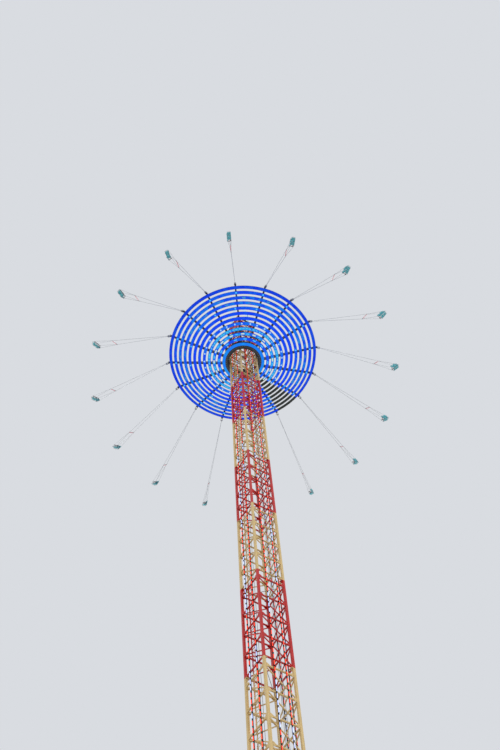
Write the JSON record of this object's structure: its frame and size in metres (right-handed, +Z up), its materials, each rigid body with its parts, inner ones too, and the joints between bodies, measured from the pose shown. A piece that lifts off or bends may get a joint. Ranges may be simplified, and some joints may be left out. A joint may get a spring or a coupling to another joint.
{
  "type": "chair swing tower ride, 1:10 scale model",
  "caption": "Tall square lattice tower ride with a climbing carriage, a rotating star of lit arms and double seats flung outward on chains.",
  "frame": {"origin": "middle of the base frame's flat underside, on the tower's vertical axis", "axes": "+Z up the tower; the tower's faces look along X and Y, with the ladder inside the -X face"},
  "size_m": [3.7206, 3.7206, 10.846],
  "materials": {
    "cream_paint": "weathered cream gloss paint on steel",
    "red_paint": "red gloss paint on steel",
    "dark_steel": "dark grey machinery paint",
    "arm_paint": "dark blue-grey paint",
    "galvanised": "hot-dip galvanised steel",
    "bright_steel": "turned bearing steel",
    "wire_rope": "greased stranded wire rope",
    "strip_rail": "dark anodised rail",
    "roller_tyre": "polyurethane tyre",
    "crown_light": "lit pale cyan light tube",
    "blue_light": "lit blue lamp channel",
    "unlit_light": "unlit dark lamp channel",
    "seat_shell": "teal moulded seats on steel chains"
  },
  "bodies": {
    "tower": {"base_frame": "dark_steel", "tower_base_section": "cream_paint", "tower_section_01": "red_paint", "tower_section_02": "cream_paint", "tower_section_03": "red_paint", "tower_section_04": "cream_paint", "tower_section_05": "red_paint", "tower_section_06": "cream_paint", "tower_section_07": "red_paint", "tower_section_08": "cream_paint", "tower_section_09": "red_paint", "tower_section_10": "cream_paint", "tower_section_11": "red_paint", "light_strips": "strip_rail", "ladder": "galvanised", "head_frame": "dark_steel", "rope_sheaves": "galvanised", "hoist_ropes": "wire_rope", "crown_frame": "galvanised", "crown_rings": "crown_light"},
    "carriage": {"carriage_drum": "dark_steel", "carriage_frame": "dark_steel", "guide_rollers": "roller_tyre", "slewing_ring": "bright_steel"},
    "star": {"hub_ring": "dark_steel", "hub_floor": "dark_steel", "star_arms": "arm_paint", "light_hoops": "blue_light", "dark_hoops": "unlit_light"},
    "swing_seat_01": {"swing_seat_01": "seat_shell"},
    "swing_seat_02": {"swing_seat_02": "seat_shell"},
    "swing_seat_03": {"swing_seat_03": "seat_shell"},
    "swing_seat_04": {"swing_seat_04": "seat_shell"},
    "swing_seat_05": {"swing_seat_05": "seat_shell"},
    "swing_seat_06": {"swing_seat_06": "seat_shell"},
    "swing_seat_07": {"swing_seat_07": "seat_shell"},
    "swing_seat_08": {"swing_seat_08": "seat_shell"},
    "swing_seat_09": {"swing_seat_09": "seat_shell"},
    "swing_seat_10": {"swing_seat_10": "seat_shell"},
    "swing_seat_11": {"swing_seat_11": "seat_shell"},
    "swing_seat_12": {"swing_seat_12": "seat_shell"},
    "swing_seat_13": {"swing_seat_13": "seat_shell"},
    "swing_seat_14": {"swing_seat_14": "seat_shell"},
    "swing_seat_15": {"swing_seat_15": "seat_shell"},
    "swing_seat_16": {"swing_seat_16": "seat_shell"}
  },
  "joints": [
    {"name": "carriage_lift", "type": "slide", "parent": "tower", "child": "carriage", "axis": [0, 0, 1], "range_m": [-8.22, 0.3]},
    {"name": "star_spin", "type": "hinge", "parent": "carriage", "child": "star", "pos_m": [0, 0, 9.3], "axis": [0, 0, 1], "continuous": true},
    {"name": "seat_swing_01", "type": "hinge", "parent": "star", "child": "swing_seat_01", "pos_m": [0.95987, 0.14345, 9.4888], "axis": [0.1478, -0.989, 0], "range_deg": [-54, 8]},
    {"name": "seat_swing_02", "type": "hinge", "parent": "star", "child": "swing_seat_02", "pos_m": [0.83191, 0.49986, 9.4888], "axis": [0.515, -0.8572, 0], "range_deg": [-54, 8]},
    {"name": "seat_swing_03", "type": "hinge", "parent": "star", "child": "swing_seat_03", "pos_m": [0.5773, 0.78017, 9.4888], "axis": [0.8039, -0.5948, 0], "range_deg": [-54, 8]},
    {"name": "seat_swing_04", "type": "hinge", "parent": "star", "child": "swing_seat_04", "pos_m": [0.23479, 0.94171, 9.4888], "axis": [0.9703, -0.2419, 0], "range_deg": [-54, 8]},
    {"name": "seat_swing_05", "type": "hinge", "parent": "star", "child": "swing_seat_05", "pos_m": [-0.14345, 0.95987, 9.4888], "axis": [0.989, 0.1478, 0], "range_deg": [-54, 8]},
    {"name": "seat_swing_06", "type": "hinge", "parent": "star", "child": "swing_seat_06", "pos_m": [-0.49986, 0.83191, 9.4888], "axis": [0.8572, 0.515, 0], "range_deg": [-54, 8]},
    {"name": "seat_swing_07", "type": "hinge", "parent": "star", "child": "swing_seat_07", "pos_m": [-0.78017, 0.5773, 9.4888], "axis": [0.5948, 0.8039, 0], "range_deg": [-54, 8]},
    {"name": "seat_swing_08", "type": "hinge", "parent": "star", "child": "swing_seat_08", "pos_m": [-0.94171, 0.23479, 9.4888], "axis": [0.2419, 0.9703, 0], "range_deg": [-54, 8]},
    {"name": "seat_swing_09", "type": "hinge", "parent": "star", "child": "swing_seat_09", "pos_m": [-0.95987, -0.14345, 9.4888], "axis": [-0.1478, 0.989, 0], "range_deg": [-54, 8]},
    {"name": "seat_swing_10", "type": "hinge", "parent": "star", "child": "swing_seat_10", "pos_m": [-0.83191, -0.49986, 9.4888], "axis": [-0.515, 0.8572, 0], "range_deg": [-54, 8]},
    {"name": "seat_swing_11", "type": "hinge", "parent": "star", "child": "swing_seat_11", "pos_m": [-0.5773, -0.78017, 9.4888], "axis": [-0.8039, 0.5948, 0], "range_deg": [-54, 8]},
    {"name": "seat_swing_12", "type": "hinge", "parent": "star", "child": "swing_seat_12", "pos_m": [-0.23479, -0.94171, 9.4888], "axis": [-0.9703, 0.2419, 0], "range_deg": [-54, 8]},
    {"name": "seat_swing_13", "type": "hinge", "parent": "star", "child": "swing_seat_13", "pos_m": [0.14345, -0.95987, 9.4888], "axis": [-0.989, -0.1478, 0], "range_deg": [-54, 8]},
    {"name": "seat_swing_14", "type": "hinge", "parent": "star", "child": "swing_seat_14", "pos_m": [0.49986, -0.83191, 9.4888], "axis": [-0.8572, -0.515, 0], "range_deg": [-54, 8]},
    {"name": "seat_swing_15", "type": "hinge", "parent": "star", "child": "swing_seat_15", "pos_m": [0.78017, -0.5773, 9.4888], "axis": [-0.5948, -0.8039, 0], "range_deg": [-54, 8]},
    {"name": "seat_swing_16", "type": "hinge", "parent": "star", "child": "swing_seat_16", "pos_m": [0.94171, -0.23479, 9.4888], "axis": [-0.2419, -0.9703, 0], "range_deg": [-54, 8]}
  ]
}
